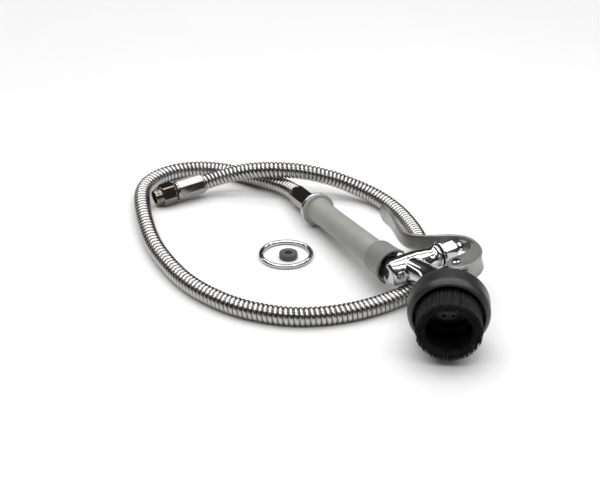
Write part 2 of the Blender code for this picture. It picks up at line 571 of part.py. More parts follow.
# ---- handle ---------------------------------------------------------------------
def make_handle(grip):
    nut_radius = NUT_FLATS / 2.0
    turned("inlet_nut", (
        (NUT_BACK, TUBE_RADIUS + GAP), (NUT_BACK, nut_radius), (NUT_BACK + 1.2, nut_radius, True),
        (NUT_FRONT - 1.2, nut_radius, True), (NUT_FRONT, nut_radius),
        (NUT_FRONT, TUBE_RADIUS + GAP)), grip, CHROME, 24, flats=6, loop=True)
    turned("inlet_washer", ((TUBE_FRONT + GAP, TUBE_BORE), (TUBE_FRONT + GAP, TUBE_RADIUS - 0.1),
                            (NECK_BACK - GAP, TUBE_RADIUS - 0.1), (NECK_BACK - GAP, TUBE_BORE)),
           grip, BLACK_RUBBER, SMALL, loop=True)
    turned("handle_tube", ((TUBE_BACK, TUBE_BORE), (TUBE_BACK, TUBE_RADIUS),
                           (TUBE_FRONT, TUBE_RADIUS), (TUBE_FRONT, TUBE_BORE)),
           grip, CHROME, 24, loop=True)
    for name, station in (("grip_bush_rear", GRIP_BACK + 8.0), ("grip_bush_front", GRIP_FRONT - 14.0)):
        turned(name, ((station, TUBE_RADIUS + GAP), (station, GRIP_BORE - GAP),
                      (station + 6.0, GRIP_BORE - GAP), (station + 6.0, TUBE_RADIUS + GAP)),
               grip, NYLON, SMALL, loop=True)
    rim = GRIP_BACK + FLANGE_THICKNESS
    turned("grip_sleeve", (
        (GRIP_BACK, GRIP_BORE), (GRIP_BACK, FLANGE_RADIUS - 0.8), (GRIP_BACK + 0.8, FLANGE_RADIUS),
        (rim - 0.8, FLANGE_RADIUS), (rim, FLANGE_RADIUS - 0.8), (rim + 0.8, 15.6),
        (rim + 2.6, 13.9), (rim + 6.0, GRIP_RADIUS), (GRIP_FRONT, GRIP_RADIUS),
        (GRIP_FRONT, GRIP_BORE)), grip, GREY_PLASTIC, loop=True)

    step = GRIP_FRONT + GAP
    bell = turned("grip_bell", (
        (BELL_BACK, GRIP_RADIUS + GAP), (BELL_BACK, BELL_RADIUS - 1.4),
        (BELL_BACK + 1.6, BELL_RADIUS), (-18.0, BELL_RADIUS + 0.2),
        (-8.0, BELL_RADIUS + 0.9), (-1.2, BELL_MOUTH_RADIUS), (-0.4, BELL_MOUTH_RADIUS - 0.6),
        (-0.4, BELL_MOUTH_RADIUS - BELL_WALL + 0.6), (-8.0, BELL_RADIUS + 0.9 - BELL_WALL),
        (step, BELL_RADIUS - BELL_WALL), (step, GRIP_RADIUS + GAP)), grip, GREY_PLASTIC, loop=True)
    # The mouth is scooped away between its two horns, below the lever.
    scoop_depth, scoop_reach, scoop_centre = 28.0, 26.0, 28.0
    outline = []
    for index in range(24):
        angle = 2.0 * math.pi * index / 24
        outline.append((2.0 + scoop_depth * math.cos(angle),
                        scoop_centre + scoop_reach * math.sin(angle)))
    turn = Matrix.Rotation(math.radians(-45.0), 4, "X")
    scoop_frame = frame("scoop_frame", turn, grip.parent)
    boolean(bell, prism("scoop_form", outline, -30.0, 30.0, scoop_frame))

    turned("grip_end_cap", (
        (CAP_BACK, TUBE_RADIUS + GAP), (CAP_BACK, CAP_RADIUS - 1.2), (CAP_BACK + 1.2, CAP_RADIUS),
        (CAP_FRONT - 1.0, CAP_RADIUS), (CAP_FRONT, CAP_RADIUS - 1.0), (CAP_FRONT, 11.0),
        (GRIP_BACK - GAP, 10.6), (GRIP_BACK - GAP, TUBE_RADIUS + GAP)), grip, CHROME, loop=True)


def ferrule(name, back, length, flats, bore, parent):
    """Eight-sided ferrule with the hose's bore at its back and a neck in front."""
    radius = flats / 2.0
    front = back + length
    bottom = back + HOSE_IN_FERRULE + 1.0
    turned(name, (
        (back, FERRULE_BORE), (back, radius - 1.0), (back + 1.6, radius), (back + 2.4, radius, True),
        (front - 2.2, radius, True), (front - 1.2, radius), (front, radius - 1.2),
        (front, bore), (bottom, bore), (bottom, FERRULE_BORE)), parent, CHROME, 32, flats=8, loop=True)


# ---- hose and supply connector ---------------------------------------------------
def make_supply(supply):
    hose_side = SUPPLY_FERRULE_LENGTH - 10.0
    ferrule("supply_ferrule", 0.0, SUPPLY_FERRULE_LENGTH, SUPPLY_FERRULE_FLATS,
            SPIGOT_RADIUS + GAP, supply)
    washer_back = SUPPLY_FERRULE_LENGTH + GAP
    washer_front = washer_back + 1.2
    turned("adapter_washer", ((washer_back, SPIGOT_RADIUS + GAP), (washer_back, 9.6),
                              (washer_front, 9.6), (washer_front, SPIGOT_RADIUS + GAP)),
           supply, BLACK_RUBBER, SMALL, loop=True)
    hexagon = washer_front + GAP
    radius = ADAPTER_FLATS / 2.0
    thread_root = THREAD_RADIUS - 0.8
    turned("supply_adapter", (
        (hose_side, ADAPTER_BORE), (hose_side, SPIGOT_RADIUS), (hexagon, SPIGOT_RADIUS),
        (hexagon, radius), (hexagon + 1.4, radius, True), (hexagon + 14.4, radius, True),
        (hexagon + 15.8, radius), (hexagon + 15.8, thread_root), (hexagon + 16.8, thread_root),
        (hexagon + 17.6, THREAD_RADIUS), (hexagon + 22.6, THREAD_RADIUS),
        (hexagon + 23.4, thread_root), (hexagon + 23.4, 6.4), (hexagon + 8.0, 6.4),
        (hexagon + 6.0, ADAPTER_BORE)), supply, CHROME, 24, flats=6, loop=True)


def make_hose(grip, supply):
    bpy.context.view_layer.update()
    handle_mouth = grip.matrix_world @ Vector((0.0, 0.0, FERRULE_BACK * MM)) / MM
    handle_out = -(grip.matrix_world.to_3x3() @ Vector((0.0, 0.0, 1.0)))
    supply_mouth = supply.matrix_world @ Vector((0.0, 0.0, 0.0)) / MM
    supply_out = -(supply.matrix_world.to_3x3() @ Vector((0.0, 0.0, 1.0)))
    stub = 13.0
    route = [handle_mouth - handle_out * HOSE_IN_FERRULE, handle_mouth,
             handle_mouth + handle_out * stub]
    route += [Vector((x + MOUTH.x, y + MOUTH.y, z)) for x, y, z in HOSE_ROUTE]
    route += [supply_mouth + supply_out * stub, supply_mouth,
              supply_mouth - supply_out * HOSE_IN_FERRULE]
    points = evenly_spaced(smooth_curve(route), HOSE_POINTS)
    data = bpy.data.curves.new("hose", "CURVE")
    data.dimensions = "3D"
    data.bevel_depth = HOSE_RADIUS * MM
    data.bevel_resolution = 3
    data.use_fill_caps = True
    spline = data.splines.new("POLY")
    spline.points.add(len(points) - 1)
    for slot, point in zip(spline.points, points):
        slot.co = (*(point * MM), 1.0)
    data.materials.append(material("hose", STEEL))
    hose = bpy.data.objects.new("hose", data)
    bpy.context.scene.collection.objects.link(hose)


# ---- loose pieces -----------------------------------------------------------------
def make_loose_pieces():
    ring = frame("ring_frame", Matrix.Translation(Vector((*RING_CENTRE, 0.0)) * MM))
    torus("hold_down_ring", RING_RADIUS, RING_WIRE, RING_WIRE, ring, CHROME, 36, 8)
    washer = frame("washer_frame", Matrix.Translation(Vector((*WASHER_CENTRE, 0.0)) * MM))
    turned("hose_washer", ((0.0, WASHER_HOLE), (0.0, WASHER_RADIUS - 0.4), (0.4, WASHER_RADIUS),
                           (WASHER_THICKNESS - 0.6, WASHER_RADIUS),
                           (WASHER_THICKNESS, WASHER_RADIUS - 0.6), (WASHER_THICKNESS, WASHER_HOLE)),
           washer, GREY_RUBBER, 24, loop=True)


def main():
    clear_scene()
    tool, grip, barrel, head, pivot, supply = make_frames()
    make_valve_body(tool, grip, barrel, head)
    make_barrel_pieces(barrel)
    make_head(head)
    make_lever(tool, pivot)
    make_handle(grip)
    ferrule("handle_ferrule", FERRULE_BACK, FERRULE_LENGTH, HANDLE_FERRULE_FLATS,
            TUBE_RADIUS + GAP, grip)
    make_supply(supply)
    make_hose(grip, supply)
    make_loose_pieces()


main()
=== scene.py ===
"""Looks of the pre-rinse hose assembly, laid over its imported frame.

Sizes are millimetres and angles are degrees, as in the part's own design; MM
turns them into Blender's metres.  The spray valve is shaped in a tool frame
(X along the grip, Y towards the lever, origin at the bell's mouth).
"""
import math
import random

import bpy
import numpy as np
from mathutils import Matrix, Vector


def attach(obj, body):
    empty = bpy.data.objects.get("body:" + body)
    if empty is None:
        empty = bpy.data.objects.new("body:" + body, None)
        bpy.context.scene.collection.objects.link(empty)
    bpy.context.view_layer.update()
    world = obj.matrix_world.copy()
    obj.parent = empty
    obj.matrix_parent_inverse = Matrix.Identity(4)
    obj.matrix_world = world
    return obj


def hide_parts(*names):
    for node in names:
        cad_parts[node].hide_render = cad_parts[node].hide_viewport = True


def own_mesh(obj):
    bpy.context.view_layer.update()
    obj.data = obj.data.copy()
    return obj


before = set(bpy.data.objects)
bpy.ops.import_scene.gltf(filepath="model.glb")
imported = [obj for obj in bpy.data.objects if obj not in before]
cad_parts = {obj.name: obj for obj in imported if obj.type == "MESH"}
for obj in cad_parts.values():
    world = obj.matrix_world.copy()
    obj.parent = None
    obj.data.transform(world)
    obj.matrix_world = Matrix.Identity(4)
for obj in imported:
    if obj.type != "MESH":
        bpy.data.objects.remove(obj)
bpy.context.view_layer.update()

MM = 0.001
BODY = "valve_and_hose"        # the body that most pieces ride on
HAIRLINE = 0.05                # radius that closes a turned piece's solid ends

# ---- where the pieces lie, as the part's design has them -------------------------------
MOUTH = (34.2, 4.2, 30.0)
TOOL_PITCH, TOOL_ROLL = 4.2, 8.0
BARREL_X = 8.0                 # barrel's axis crosses the grip's axis here
HEAD_CENTRE, HEAD_ANGLE = (84.8, 7.1), -33.0
PIN = (43.5, 43.0)
SUPPLY_MOUTH = (-244.3, -80.2, 16.6)
SUPPLY_HEADING, SUPPLY_PITCH = -87.2, -5.0
RING_CENTRE = (-78.5, -55.6, 0.0)
WASHER_CENTRE = (-75.1, -54.6, 0.0)

# ---- handle, as stations along the grip and radii --------------------------------------
FERRULE_BACK = -211.0          # handle ferrule's mouth
HANDLE_FERRULE_LENGTH, HANDLE_FERRULE_FLATS = 40.0, 21.0
CAP_BACK, CAP_FRONT, CAP_RADIUS = -168.6, -163.8, 16.8
GRIP_BACK, GRIP_FRONT = -161.0, -25.0
GRIP_RADIUS, GRIP_BORE = 13.0, 9.6
FLANGE_RADIUS, FLANGE_THICKNESS = 18.0, 4.5
BELL_BACK, BELL_FRONT, BELL_RADIUS, BELL_WALL = -31.0, -0.4, 16.4, 2.6
TUBE_HOLE = 8.3                # bore of the pieces that sit on the handle's tube
NUT_BACK, NUT_FRONT, NUT_APOTHEM = -23.6, -8.6, 10.0

# ---- supply end ------------------------------------------------------------------------
SUPPLY_FERRULE_LENGTH, SUPPLY_FERRULE_FLATS = 34.0, 22.0
SUPPLY_FERRULE_TURN = 17.5     # its flats are turned this far from the vertical
HOSE_HOLE = 9.5                # bore of a ferrule round the hose
SPIGOT_RADIUS, SPIGOT_HOLE = 6.0, 6.3
ADAPTER_APOTHEM, ADAPTER_BORE = 11.2, 4.2
THREAD_ROOT, THREAD_CREST, THREAD_PITCH = 8.4, 9.4, 1.8

# ---- valve, as stations along the barrel and radii -------------------------------------
BARREL_END, CHAMBER_BORE = 44.0, 8.4
LUG_RADIUS, LUG_ROOT, LUG_HALF_HEIGHT = 7.0, 18.0, 4.9
PIN_HOLE = 3.3
BONNET_APOTHEM, BONNET_BORE, BONNET_FLANGE_RADIUS = 8.5, 2.6, 12.6
BUTTON_RADIUS = 4.6
SPRING_BACK, SPRING_FRONT = -7.6, 0.2
SPRING_RADIUS, SPRING_WIRE, SPRING_TURNS = 4.6, 0.55, 3.5

# ---- spray head, as stations along its axis and radii ----------------------------------
RIM_RADIUS, RIM_FRONT, DISH_RADIUS = 29.4, 9.0, 25.5
BUMPER_RADIUS, BUMPER_BORE = 36.5, 29.9
CARRIER_FRONT, CARRIER_BORE = 15.0, 20.6
TUFT_CIRCLES = ((22.5, 40), (25.0, 44), (27.4, 48))      # radius, number of tufts
TUFT_RADIUS, BRISTLES_PER_TUFT = 0.95, 27
BRISTLE_TIPS, BRISTLE_HALF_WIDTH = 51.2, 0.24
BRUSH_INNER, BRUSH_OUTER = 21.0, 28.7

# ---- loose pieces ----------------------------------------------------------------------
RING_RADIUS, RING_WIRE = 25.65, 2.5
WASHER_RADIUS, WASHER_HOLE, WASHER_THICKNESS = 9.4, 3.6, 6.0

# ---- hose ------------------------------------------------------------------------------
HOSE_DIAMETER = 18.0
HOSE_IN_FERRULE = 20.0         # length of hose that each ferrule hides
HOSE_STUB = 13.0               # straight run out of each ferrule
HOSE_PITCH = 4.7               # one turn of the wound steel strip, where it is closed up
HOSE_OPENED = (1.7, 330.0, 110.0)     # extra pitch, centre and spread of the drawn-out bend
HOSE_GROOVE = 1.5              # depth of the groove between two turns
HOSE_STEP, HOSE_SIDES = 0.48, 28      # distance between sections, points round each
HOSE_ROUTE = (                 # in plan from the bell's mouth, height from the table
    (-239.0, -2.0, 12.3), (-259.0, -10.5, 10.8), (-279.0, -21.0, 9.4),
    (-297.0, -32.5, 9.0), (-313.0, -45.5, 9.0), (-327.5, -62.0, 9.0),
    (-335.5, -83.0, 9.0), (-335.5, -105.0, 9.0), (-327.5, -125.5, 9.0),
    (-312.5, -142.0, 9.0), (-291.5, -153.5, 9.0), (-257.5, -163.5, 9.0),
    (-214.5, -173.0, 9.0), (-176.0, -179.0, 9.0), (-139.0, -179.0, 9.0),
    (-107.0, -177.0, 9.0), (-79.0, -171.0, 9.0), (-54.0, -161.0, 9.0),
    (-33.0, -150.0, 9.0), (-13.0, -133.0, 9.0), (6.0, -111.0, 9.0),
    (18.0, -82.0, 9.0), (23.0, -55.0, 9.0), (23.0, -26.0, 9.0),
    (19.0, 0.0, 9.0), (9.0, 23.0, 9.0), (-8.0, 41.0, 9.0),
    (-29.0, 56.0, 9.0), (-55.0, 67.0, 9.0), (-83.0, 76.0, 9.0),
    (-109.0, 81.0, 9.0), (-135.0, 84.0, 9.0), (-159.0, 82.0, 9.8),
    (-180.0, 76.0, 12.0), (-197.0, 65.0, 15.5), (-211.0, 53.0, 19.7),
    (-221.0, 38.0, 24.0), (-230.0, 22.0, 28.0), (-237.0, 7.0, 30.3),
    (-245.5, -8.0, 31.0), (-256.5, -23.0, 29.5), (-267.5, -38.0, 25.8),
    (-275.5, -53.8, 21.6))

# ---- lever, in the tool frame ----------------------------------------------------------
LEVER_OUTLINE = (              # outer side of the strap, from tip to pivot
    (-107.0, 50.0), (-100.0, 50.2), (-88.0, 49.2), (-70.0, 44.6), (-54.0, 40.2),
    (-42.0, 38.8), (-33.0, 40.6), (-25.0, 46.2), (-16.0, 55.4), (-7.0, 66.6),
    (3.0, 75.2), (14.0, 79.2), (27.0, 78.6), (40.0, 74.6), (50.0, 66.4),
    (55.6, 56.0), (56.2, 47.0))
CHEEK_EDGE = (                 # free edge of the two cheeks, pivot to window
    (54.6, 40.4), (50.6, 36.2), (45.0, 34.4), (37.6, 36.2), (33.8, 42.0),
    (33.6, 52.0), (33.0, 60.0), (29.6, 67.0), (22.0, 72.6))
LEVER_HALF_HEIGHT, LEVER_WALL, CHEEK_INNER = 8.5, 3.6, 5.3
TIP_EXTRA_HEIGHT = 0.28
LEVER_DISH = 1.1               # how deep the strap's outer side is dished
PAD_OUTLINE = ((3.6, 71.3), (12.4, 71.3), (12.4, 76.5), (7.0, 75.0))

# ---- camera and studio, in metres ------------------------------------------------------
CAMERA_PLACE, CAMERA_TILT, CAMERA_HEADING = (0.8095, -0.4729, 0.5559), 61.3, 64.0
LENS, SENSOR = 66.18, 36.0
PANEL_CENTRE, PANEL_SIZE = (-0.4, 0.4, 3.2), (6.0, 1.3)
PANEL_OFFSETS, PANEL_POWER = (-2.1, 0.0, 2.1), 76.0
STRIP_SIZE = (0.25, 1.2)
STUDIO_TONES = ((0.0, 0.7), (0.02, 0.14), (0.25, 0.03), (0.50, 0.06), (0.85, 0.45))
STUDIO_STRENGTH = 0.9
FLOOR_HALF_WIDTH = 6.0


# ---- frames ----------------------------------------------------------------------------
def turn(degrees, axis):
    return Matrix.Rotation(math.radians(degrees), 4, axis)


def shift(point):
    return Matrix.Translation(Vector(point) * MM)


def placed(matrix, *point):
    """A point of matrix's own frame, in the row frame."""
    return matrix @ (Vector(point) * MM)


ALONG_X = turn(90.0, "Y")
TOOL = shift(MOUTH) @ turn(-TOOL_PITCH, "Y") @ turn(TOOL_ROLL, "X")
GRIP = TOOL @ ALONG_X
BARREL = TOOL @ shift((BARREL_X, 0.0, 0.0)) @ turn(-90.0, "X")
HEAD = TOOL @ shift((*HEAD_CENTRE, 0.0)) @ turn(HEAD_ANGLE, "Z") @ ALONG_X
PIN_FRAME = TOOL @ shift((*PIN, 0.0))
SUPPLY = (shift(SUPPLY_MOUTH) @ turn(SUPPLY_HEADING, "Z")
          @ turn(-SUPPLY_PITCH, "Y") @ ALONG_X)


# ---- camera and light ------------------------------------------------------------------
def add_camera():
    data = bpy.data.cameras.new("camera")
    data.lens = LENS
    data.sensor_width = SENSOR
    camera = bpy.data.objects.new("camera", data)
    camera.location = CAMERA_PLACE
    camera.rotation_euler = (math.radians(CAMERA_TILT), 0.0, math.radians(CAMERA_HEADING))
    bpy.context.scene.collection.objects.link(camera)
    bpy.context.scene.camera = camera


def add_softbox(name, place, aim, size, power, spin=0.0):
    data = bpy.data.lights.new(name, "AREA")
    data.shape = "RECTANGLE"
    data.size, data.size_y = size
    data.energy = power
    light = bpy.data.objects.new(name, data)
    light.location = place
    towards = (Vector(aim) - Vector(place)).to_track_quat("-Z", "Y").to_matrix().to_4x4()
    light.rotation_euler = (turn(spin, "Z") @ towards).to_euler()
    bpy.context.scene.collection.objects.link(light)


# ---- materials -------------------------------------------------------------------------
class Finish:
    """A Principled material whose nodes are added one call at a time.

    Noise scales are in cycles per metre.  Colour and roughness run between their two
    values as the noise, which keeps mostly to its middle part, goes from low to high.
    """

    NOISE_LOW, NOISE_HIGH = 0.3, 0.7

    def __init__(self, name):
        self.made = bpy.data.materials.new(name)
        self.made.use_nodes = True
        self.tree = self.made.node_tree
        self.shader = self.tree.nodes["Principled BSDF"]
        self.place = self.tree.nodes.new("ShaderNodeTexCoord").outputs["Object"]

    def set(self, **values):
        for key, value in values.items():
            self.shader.inputs[key.replace("_", " ")].default_value = value
        return self

    def noise(self, scale, detail=4.0):
        node = self.tree.nodes.new("ShaderNodeTexNoise")
        node.inputs["Scale"].default_value = scale
        node.inputs["Detail"].default_value = detail
        self.tree.links.new(self.place, node.inputs["Vector"])
        return node.outputs["Fac"]

    def attribute(self, name):
        node = self.tree.nodes.new("ShaderNodeAttribute")
        node.attribute_name = name
        return node.outputs["Fac"]

    def colour(self, dark, light, factor, low=NOISE_LOW, high=NOISE_HIGH):
        ramp = self.tree.nodes.new("ShaderNodeValToRGB")
        ramp.color_ramp.elements[0].position = low
        ramp.color_ramp.elements[0].color = (*dark, 1.0)
        ramp.color_ramp.elements[1].position = high
        ramp.color_ramp.elements[1].color = (*light, 1.0)
        self.tree.links.new(factor, ramp.inputs["Fac"])
        self.tree.links.new(ramp.outputs["Color"], self.shader.inputs["Base Color"])
        return self

    def roughness(self, low, high, factor):
        span = self.tree.nodes.new("ShaderNodeMapRange")
        span.inputs["From Min"].default_value = self.NOISE_LOW
        span.inputs["From Max"].default_value = self.NOISE_HIGH
        span.inputs["To Min"].default_value = low
        span.inputs["To Max"].default_value = high
        self.tree.links.new(factor, span.inputs["Value"])
        self.tree.links.new(span.outputs["Result"], self.shader.inputs["Roughness"])
        return self

    def bump(self, factor, strength, distance):
        node = self.tree.nodes.new("ShaderNodeBump")
        node.inputs["Strength"].default_value = strength
        node.inputs["Distance"].default_value = distance * MM
        self.tree.links.new(factor, node.inputs["Height"])
        self.tree.links.new(node.outputs["Normal"], self.shader.inputs["Normal"])
        return self


def plated(name, dark, light, roughness):
    """Polished plating: faint tarnish and wiping marks in its gloss."""
    look = Finish(name).set(Metallic=1.0)
    look.colour(dark, light, look.noise(scale=35.0))
    look.roughness(*roughness, look.noise(scale=90.0, detail=6.0))
    return look.bump(look.noise(scale=260.0, detail=2.0), strength=0.05, distance=0.05).made


def moulded(name, dark, light, roughness, grain, depth):
    """Moulded plastic or rubber with a fine grain."""
    look = Finish(name)
    look.colour(dark, light, look.noise(scale=55.0, detail=6.0))
    look.roughness(*roughness, look.noise(scale=220.0, detail=5.0))
    return look.bump(look.noise(scale=grain, detail=3.0), strength=0.35, distance=depth).made


def strip_with_painted_groove_shade():
    """The hose's strip: bright crests, painted shade down in the groove between turns."""
    look = Finish("strip_with_painted_groove_shade").set(Metallic=1.0)
    # painted shade: the base colour runs from light on the crests to dark down in the groove
    look.colour((0.09, 0.087, 0.083), (0.49, 0.48, 0.47), look.attribute("crest"),
                low=0.12, high=0.75)
    look.roughness(0.15, 0.26, look.noise(scale=140.0, detail=5.0))
    return look.bump(look.noise(scale=500.0, detail=2.0), strength=0.08, distance=0.05).made


def cast_satin():
    """Tumbled casting: soft mottling and a very fine sand texture."""
    look = Finish("cast_satin").set(Metallic=0.92)
    look.colour((0.27, 0.27, 0.267), (0.37, 0.37, 0.363), look.noise(scale=70.0, detail=6.0))
    look.roughness(0.30, 0.42, look.noise(scale=160.0, detail=5.0))
    return look.bump(look.noise(scale=900.0, detail=3.0), strength=0.25, distance=0.06).made


LOOKS = {
    "chrome": plated("chrome", (0.53, 0.53, 0.535), (0.61, 0.61, 0.615), (0.03, 0.07)),
    "ferrule": plated("ferrule_plate", (0.29, 0.28, 0.275), (0.37, 0.36, 0.355), (0.04, 0.09)),
    "dark_chrome": plated("dark_chrome", (0.20, 0.18, 0.165), (0.30, 0.27, 0.25), (0.05, 0.11)),
    "wire": plated("wire", (0.50, 0.50, 0.505), (0.60, 0.60, 0.605), (0.06, 0.12)),
    "brass": plated("brass", (0.58, 0.42, 0.17), (0.72, 0.54, 0.25), (0.20, 0.34)),
    "spring": plated("spring_wire", (0.42, 0.42, 0.42), (0.56, 0.56, 0.55), (0.22, 0.34)),
    "face": plated("brushed_face", (0.42, 0.42, 0.41), (0.56, 0.56, 0.55), (0.24, 0.36)),
    "strip": strip_with_painted_groove_shade(),
    "satin": cast_satin(),
    "grip": moulded("grip_plastic", (0.295, 0.295, 0.280), (0.335, 0.335, 0.320),
                    (0.38, 0.48), grain=1500.0, depth=0.06),
    "bell": moulded("bell_plastic", (0.195, 0.195, 0.186), (0.230, 0.230, 0.220),
                    (0.34, 0.44), grain=1500.0, depth=0.06),
    "rubber": moulded("bumper_rubber", (0.014, 0.014, 0.015), (0.023, 0.023, 0.024),
                      (0.28, 0.38), grain=1100.0, depth=0.08),
    "seal": moulded("seal_rubber", (0.012, 0.012, 0.012), (0.022, 0.022, 0.022),
                    (0.5, 0.62), grain=1300.0, depth=0.05),
    "bristle": moulded("bristle_nylon", (0.002, 0.002, 0.002), (0.008, 0.007, 0.007),
                       (0.5, 0.65), grain=700.0, depth=0.02),
    "washer": moulded("washer_rubber", (0.060, 0.060, 0.060), (0.088, 0.088, 0.086),
                      (0.48, 0.6), grain=1200.0, depth=0.08),
    "nylon": moulded("bush_nylon", (0.50, 0.50, 0.46), (0.60, 0.60, 0.55),
                     (0.42, 0.55), grain=1200.0, depth=0.04),
}


# ---- meshes ----------------------------------------------------------------------------
def add_mesh(name, points, faces, look):
    mesh = bpy.data.meshes.new(name)
    mesh.from_pydata(points, [], faces)
    mesh.update()
    mesh.materials.append(LOOKS[look])
    obj = bpy.data.objects.new(name, mesh)
    bpy.context.scene.collection.objects.link(obj)
    return obj


def shade(obj, degrees=32.0):
    """Smooth shading, broken where faces meet at more than the given angle."""
    obj.data.shade_smooth()
    obj.data.set_sharp_from_angle(angle=math.radians(degrees))
    return obj


def declare(obj, body, slot, *nodes):
    """Puts a piece on the empty of the body it rides on and hides the imported parts it stands for;
    slot is not used.
    """
    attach(obj, body)
    if nodes:
        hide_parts(*nodes)
    return obj


def grid(rings, closed=False):
    """Points and faces of rings of equal length, each ring closed on itself.

    closed joins the last ring to the first; otherwise both ends are capped.
    """
    count, sides = len(rings), len(rings[0])
    points = [tuple(point) for ring in rings for point in ring]
    faces = []
    for ring in range(count if closed else count - 1):
        first, second = ring * sides, (ring + 1) % count * sides
        for side in range(sides):
            after = (side + 1) % sides
            faces.append((first + side, first + after, second + after, second + side))
    if not closed:
        faces.append(tuple(range(sides))[::-1])
        faces.append(tuple(range((count - 1) * sides, count * sides)))
    return points, faces


def gather(parts):
    """One list of points and one of faces, from many pairs of them."""
    points, faces = [], []
    for more_points, more_faces in parts:
        base = len(points)
        points += more_points
        faces += [tuple(base + corner for corner in face) for face in more_faces]
    return points, faces


def soften(profile, reach, closed, steps=4):
    """A profile with its corners rounded off, each over at most reach."""
    count = len(profile)
    rounded = []
    for index, corner in enumerate(profile):
        if not closed and index in (0, count - 1):
            rounded.append(tuple(corner))
            continue
        here = np.array(corner[:2], float)
        before = np.array(profile[index - 1][:2], float) - here
        after = np.array(profile[(index + 1) % count][:2], float) - here
        away, onward = np.linalg.norm(before), np.linalg.norm(after)
        start = here + before / away * min(reach, 0.45 * away)
        end = here + after / onward * min(reach, 0.45 * onward)
        for step in range(steps + 1):
            t = step / steps
            point = (1 - t) ** 2 * start + 2 * t * (1 - t) * here + t * t * end
            rounded.append((*point, *corner[2:]))
    return rounded


def section(radius, apothem, sides, flats, place):
    """One ring of a turned piece: round, or cut to flats at the given apothem."""
    step = 2.0 * math.pi / flats if flats else 0.0
    ring = []
    for side in range(sides):
        angle = 2.0 * math.pi * side / sides
        reach = radius
        if apothem:
            reach = min(radius, apothem / math.cos((angle + step / 2.0) % step - step / 2.0))
        ring.append(place(reach, angle))
    return ring


def turned(name, profile, matrix, look, sides=96, flats=None, closed=True, reach=0.5):
    """A piece turned about the local Z of matrix.

    profile lists (station, radius) or (station, corner radius, apothem).
    """
    rings = []
    for station, radius, *apothem in soften(profile, reach, closed):
        def place(out, angle):
            return placed(matrix, out * math.cos(angle), out * math.sin(angle), station)
        rings.append(section(radius, apothem[0] if apothem else None, sides, flats, place))
    obj = add_mesh(name, *grid(rings, closed), look)
    face_outwards(obj)
    return shade(obj)


def face_outwards(obj):
    """Turns every face out, by the sign of the mesh's volume."""
    mesh = obj.data
    mesh.calc_loop_triangles()
    points = np.empty(len(mesh.vertices) * 3)
    mesh.vertices.foreach_get("co", points)
    corners = np.empty(len(mesh.loop_triangles) * 3, np.int32)
    mesh.loop_triangles.foreach_get("vertices", corners)
    a, b, c = points.reshape(-1, 3)[corners.reshape(-1, 3)].transpose(1, 0, 2)
    if np.einsum("ij,ij->i", a, np.cross(b, c)).sum() < 0.0:
        mesh.flip_normals()


def lofted(name, sections, matrix, look, sides=64):
    """A horn through round sections of (x, y, heading, radius) in matrix's XY plane."""
    rings = []
    for x, y, heading, radius in through(sections, 8):
        across = Vector((-math.sin(math.radians(heading)), math.cos(math.radians(heading)), 0.0))
        rings.append([matrix @ ((Vector((x, y, 0.0)) + across * radius * math.cos(angle)
                                 + Vector((0.0, 0.0, radius * math.sin(angle)))) * MM)
                      for angle in np.linspace(0.0, 2.0 * math.pi, sides, endpoint=False)])
    obj = add_mesh(name, *grid(rings), look)
    face_outwards(obj)
    return obj


def through(values, per_span):
    """Catmull-Rom points through rows of numbers."""
    rows = [np.array(row, float) for row in values]
    rows = [2 * rows[0] - rows[1]] + rows + [2 * rows[-1] - rows[-2]]
    found = []
    for p0, p1, p2, p3 in zip(rows, rows[1:], rows[2:], rows[3:]):
        for step in range(per_span):
            t = step / per_span
            found.append(0.5 * (2 * p1 + (p2 - p0) * t + (2 * p0 - 5 * p1 + 4 * p2 - p3) * t * t
                                + (3 * p1 - p0 - 3 * p2 + p3) * t ** 3))
    found.append(rows[-2])
    return found


def prism(name, outline, low, high, matrix, look):
    """An outline in matrix's XY plane, extruded from low to high."""
    rings = [[placed(matrix, x, y, height) for x, y in outline] for height in (low, high)]
    obj = add_mesh(name, *grid(rings), look)
    face_outwards(obj)
    return obj


def apply_modifiers(obj):
    """Keeps the shape that the object's modifiers make."""
    graph = bpy.context.evaluated_depsgraph_get()
    mesh = bpy.data.meshes.new_from_object(obj.evaluated_get(graph))
    obj.modifiers.clear()
    obj.data = mesh
    return obj


def bevel(obj, width):
    """Eases the object's sharp edges."""
    step = obj.modifiers.new("ease", "BEVEL")
    step.width = width * MM
    step.segments = 2
    step.limit_method = "ANGLE"
    return apply_modifiers(obj)


def cut(obj, *forms):
    """Cuts the forms away from the object, and removes them."""
    for form in forms:
        step = obj.modifiers.new(form.name, "BOOLEAN")
        step.operation = "DIFFERENCE"
        step.solver = "EXACT"
        step.object = form
    apply_modifiers(obj)
    for form in forms:
        bpy.data.objects.remove(form)
    return obj


def join(obj, *others):
    """Puts the others' faces into the object, overlaps and all."""
    points, faces = gather(([tuple(vertex.co) for vertex in piece.data.vertices],
                            [tuple(face.vertices) for face in piece.data.polygons])
                           for piece in (obj, *others))
    mesh = bpy.data.meshes.new(obj.name)
    mesh.from_pydata(points, [], faces)
    mesh.materials.append(obj.data.materials[0])
    obj.data = mesh
    for piece in others:
        bpy.data.objects.remove(piece)
    return obj


def fuse(obj, voxel, rounds):
    """One skin over everything in the object, its inner corners filled and edges eased."""
    skin = obj.modifiers.new("skin", "REMESH")
    skin.mode = "VOXEL"
    skin.voxel_size = voxel * MM
    ease = obj.modifiers.new("ease", "SMOOTH")
    ease.factor = 0.5
    ease.iterations = rounds
    return apply_modifiers(obj)


